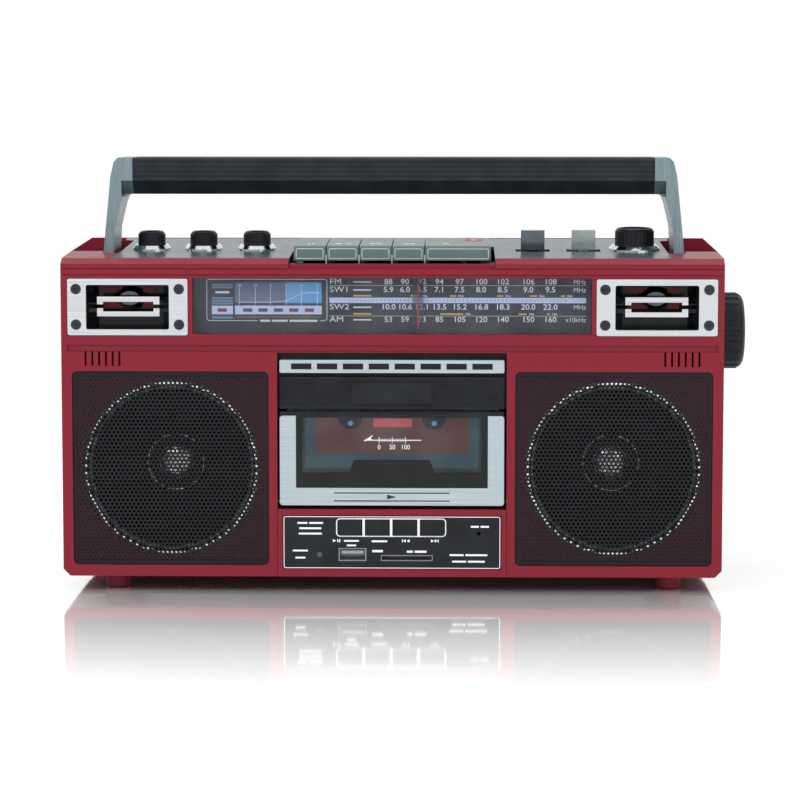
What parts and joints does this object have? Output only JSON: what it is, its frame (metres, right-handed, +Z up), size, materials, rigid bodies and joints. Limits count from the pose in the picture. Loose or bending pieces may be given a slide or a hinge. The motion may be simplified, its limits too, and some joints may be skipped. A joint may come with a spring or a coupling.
{
  "type": "boombox",
  "caption": "Portable radio and tape boombox with carrying handle, two speakers, tape door, piano keys, tuning dial and folding aerial.",
  "frame": {"origin": "on the floor, under the middle of the overall width and depth", "axes": "+X towards the tuning knob, -Y out of the front, +Z up"},
  "size_m": [0.345, 0.1203, 0.2176],
  "materials": {
    "red_shell": "metallic crimson paint",
    "rear_red": "satin crimson",
    "black_matte": "matt black",
    "black_gloss": "gloss black",
    "rubber_red": "red rubber",
    "screw_dark": "blackened",
    "plate_teal": "grey-teal metallic",
    "chrome": "bright",
    "silver": "brushed silver",
    "grille_black": "perforated, black",
    "paper_black": "paper cone",
    "basket_steel": "pressed steel",
    "clear": "clear",
    "scale_grey": "printed scale",
    "pointer_red": "red on clear",
    "drum_white": "natural plastic",
    "key_metal": "grey metallic",
    "key_red": "red",
    "steel": "plain steel",
    "brass": "turned",
    "board_green": "circuit board",
    "control_grey": "moulded",
    "core": "laminated",
    "arm_silver": "satin grey-silver",
    "grip_black": "ribbed black"
  },
  "bodies": {
    "case": {"front_shell": "red_shell", "rear_shell": "rear_red", "feet": "rubber_red", "screws": "screw_dark", "top_control_plate": "plate_teal", "knob_bezels": "chrome", "speaker_grilles": "grille_black", "woofer_baskets": "basket_steel", "trim_rings": "chrome", "tweeter_frame_left": "silver", "tweeter_frame_right": "silver", "tweeter_horns": "black_gloss", "tweeter_domes": "chrome", "dial_lens": "clear", "dial_scale_plate": "scale_grey", "level_bar": "silver", "tape_panel": "black_matte", "deck_chassis": "steel", "deck_motor": "steel", "key_axle": "steel", "lower_panel": "black_matte", "media_sockets": "steel", "circuit_boards": "board_green", "transformer": "core", "controls_below": "control_grey", "mains_inlet": "black_matte"},
    "handle": {"handle_arms": "arm_silver", "handle_grip": "grip_black"},
    "tuning": {"tuning_knob": "black_matte", "dial_drum": "drum_white"},
    "pointer": {"dial_pointer": "pointer_red"},
    "mic_control": {"mic_knob": "black_matte"},
    "bass_control": {"bass_knob": "black_matte"},
    "treble_control": {"treble_knob": "black_matte"},
    "volume_control": {"volume_knob": "black_matte"},
    "pause": {"key_pause": "key_metal"},
    "stop_eject": {"key_stop_eject": "key_metal"},
    "forward": {"key_forward": "key_metal"},
    "rewind": {"key_rewind": "key_metal"},
    "play": {"key_play": "key_metal"},
    "record": {"key_record": "key_red"},
    "bridge": {"head_bridge": "steel"},
    "door": {"tape_door": "black_gloss", "tape_door_trim": "silver", "tape_door_window": "clear"},
    "button_1": {"push_button_1": "black_gloss"},
    "button_2": {"push_button_2": "black_gloss"},
    "button_3": {"push_button_3": "black_gloss"},
    "button_4": {"push_button_4": "black_gloss"},
    "function_selector": {"function_lever": "chrome"},
    "band_selector": {"band_lever": "chrome"},
    "reel_left": {"reel_spindle_left": "black_matte"},
    "reel_right": {"reel_spindle_right": "black_matte"},
    "capstan": {"flywheel": "brass"},
    "pulley": {"motor_pulley": "brass"},
    "aerial": {"aerial_mast": "chrome"},
    "aerial_rod": {"aerial_tip": "chrome"},
    "battery_door": {"battery_cover": "rear_red"},
    "cone_left": {"woofer_cone_left": "paper_black"},
    "cone_right": {"woofer_cone_right": "paper_black"}
  },
  "joints": [
    {"name": "handle_fold", "type": "hinge", "parent": "case", "child": "handle", "pos_m": [-0.00625, -0.01325, 0.158], "axis": [-1, 0, 0], "range_deg": [0, 40]},
    {"name": "mic_turn", "type": "hinge", "parent": "case", "child": "mic_control", "pos_m": [-0.13135, -0.0093, 0.17016], "axis": [0, -0.0476, 0.9989], "range_deg": [-140, 140]},
    {"name": "bass_turn", "type": "hinge", "parent": "case", "child": "bass_control", "pos_m": [-0.10445, -0.0093, 0.17016], "axis": [0, -0.0476, 0.9989], "range_deg": [-140, 140]},
    {"name": "treble_turn", "type": "hinge", "parent": "case", "child": "treble_control", "pos_m": [-0.07695, -0.0093, 0.17016], "axis": [0, -0.0476, 0.9989], "range_deg": [-140, 140]},
    {"name": "volume_turn", "type": "hinge", "parent": "case", "child": "volume_control", "pos_m": [0.11745, -0.0093, 0.17016], "axis": [0, -0.0476, 0.9989], "range_deg": [-140, 140]},
    {"name": "tuning_turn", "type": "hinge", "parent": "case", "child": "tuning", "pos_m": [0.15975, -0.01475, 0.129], "axis": [1, 0, 0], "range_deg": [-85, 298]},
    {"name": "pointer_slide", "type": "slide", "parent": "case", "child": "pointer", "axis": [1, 0, 0], "range_m": [-0.021, 0.073]},
    {"name": "pause_press", "type": "hinge", "parent": "case", "child": "pause", "pos_m": [-0.00625, 0.00625, 0.162], "axis": [1, 0, 0], "range_deg": [0, 5], "stiffness_Nm_per_rad": 2, "springref_deg": -2.29},
    {"name": "stop_eject_press", "type": "hinge", "parent": "case", "child": "stop_eject", "pos_m": [-0.00625, 0.00625, 0.162], "axis": [1, 0, 0], "range_deg": [0, 5], "stiffness_Nm_per_rad": 2, "springref_deg": -2.29},
    {"name": "forward_press", "type": "hinge", "parent": "case", "child": "forward", "pos_m": [-0.00625, 0.00625, 0.162], "axis": [1, 0, 0], "range_deg": [0, 5], "stiffness_Nm_per_rad": 2, "springref_deg": -2.29},
    {"name": "rewind_press", "type": "hinge", "parent": "case", "child": "rewind", "pos_m": [-0.00625, 0.00625, 0.162], "axis": [1, 0, 0], "range_deg": [0, 5], "stiffness_Nm_per_rad": 2, "springref_deg": -2.29},
    {"name": "play_press", "type": "hinge", "parent": "case", "child": "play", "pos_m": [-0.00625, 0.00625, 0.162], "axis": [1, 0, 0], "range_deg": [0, 5], "stiffness_Nm_per_rad": 2, "springref_deg": -2.29},
    {"name": "record_press", "type": "hinge", "parent": "case", "child": "record", "pos_m": [-0.00625, 0.00625, 0.162], "axis": [1, 0, 0], "range_deg": [0, 5], "stiffness_Nm_per_rad": 2, "springref_deg": -2.29},
    {"name": "bridge_slide", "type": "slide", "parent": "case", "child": "bridge", "axis": [0, 0, -1], "range_m": [0, 0.00505]},
    {"name": "door_open", "type": "hinge", "parent": "case", "child": "door", "pos_m": [-0.00625, -0.05615, 0.0458], "axis": [1, 0, 0], "range_deg": [0, 30]},
    {"name": "button_1_press", "type": "slide", "parent": "case", "child": "button_1", "axis": [0, 1, 0], "range_m": [0, 0.0012], "stiffness_N_per_m": 1500, "springref_m": -0.0006},
    {"name": "button_2_press", "type": "slide", "parent": "case", "child": "button_2", "axis": [0, 1, 0], "range_m": [0, 0.0012], "stiffness_N_per_m": 1500, "springref_m": -0.0006},
    {"name": "button_3_press", "type": "slide", "parent": "case", "child": "button_3", "axis": [0, 1, 0], "range_m": [0, 0.0012], "stiffness_N_per_m": 1500, "springref_m": -0.0006},
    {"name": "button_4_press", "type": "slide", "parent": "case", "child": "button_4", "axis": [0, 1, 0], "range_m": [0, 0.0012], "stiffness_N_per_m": 1500, "springref_m": -0.0006},
    {"name": "function_slide", "type": "slide", "parent": "case", "child": "function_selector", "axis": [1, 0, 0], "range_m": [-0.0023, 0.0023]},
    {"name": "band_slide", "type": "slide", "parent": "case", "child": "band_selector", "axis": [1, 0, 0], "range_m": [-0.0023, 0.0023]},
    {"name": "reel_left_spin", "type": "hinge", "parent": "case", "child": "reel_left", "pos_m": [-0.0275, -0.04575, 0.0843], "axis": [0, 1, 0], "continuous": true},
    {"name": "reel_right_spin", "type": "hinge", "parent": "case", "child": "reel_right", "pos_m": [0.015, -0.04575, 0.0843], "axis": [0, 1, 0], "continuous": true},
    {"name": "capstan_spin", "type": "hinge", "parent": "case", "child": "capstan", "pos_m": [0.01775, -0.04575, 0.1], "axis": [0, 1, 0], "continuous": true},
    {"name": "pulley_spin", "type": "hinge", "parent": "case", "child": "pulley", "pos_m": [-0.03425, -0.02775, 0.098], "axis": [0, 1, 0], "continuous": true},
    {"name": "aerial_swing", "type": "hinge", "parent": "case", "child": "aerial", "pos_m": [0.14375, 0.05675, 0.158], "axis": [0, 1, 0], "range_deg": [0, 180]},
    {"name": "aerial_extend", "type": "slide", "parent": "aerial", "child": "aerial_rod", "axis": [-1, 0, 0], "range_m": [0, 0.2]},
    {"name": "battery_door_lift", "type": "slide", "parent": "case", "child": "battery_door", "axis": [0, 1, 0], "range_m": [0, 0.02]},
    {"name": "cone_left_move", "type": "slide", "parent": "case", "child": "cone_left", "axis": [0, 1, 0], "range_m": [-0.001, 0.001], "stiffness_N_per_m": 3000},
    {"name": "cone_right_move", "type": "slide", "parent": "case", "child": "cone_right", "axis": [0, 1, 0], "range_m": [-0.001, 0.001], "stiffness_N_per_m": 3000}
  ],
  "couplings": [
    {"joint": "pointer_slide", "follows": "tuning_turn", "m_per_rad": 0.014},
    {"joint": "bridge_slide", "follows": "play_press", "m_per_rad": 0.0573},
    {"joint": "pulley_spin", "follows": "capstan_spin", "ratio": 4}
  ]
}
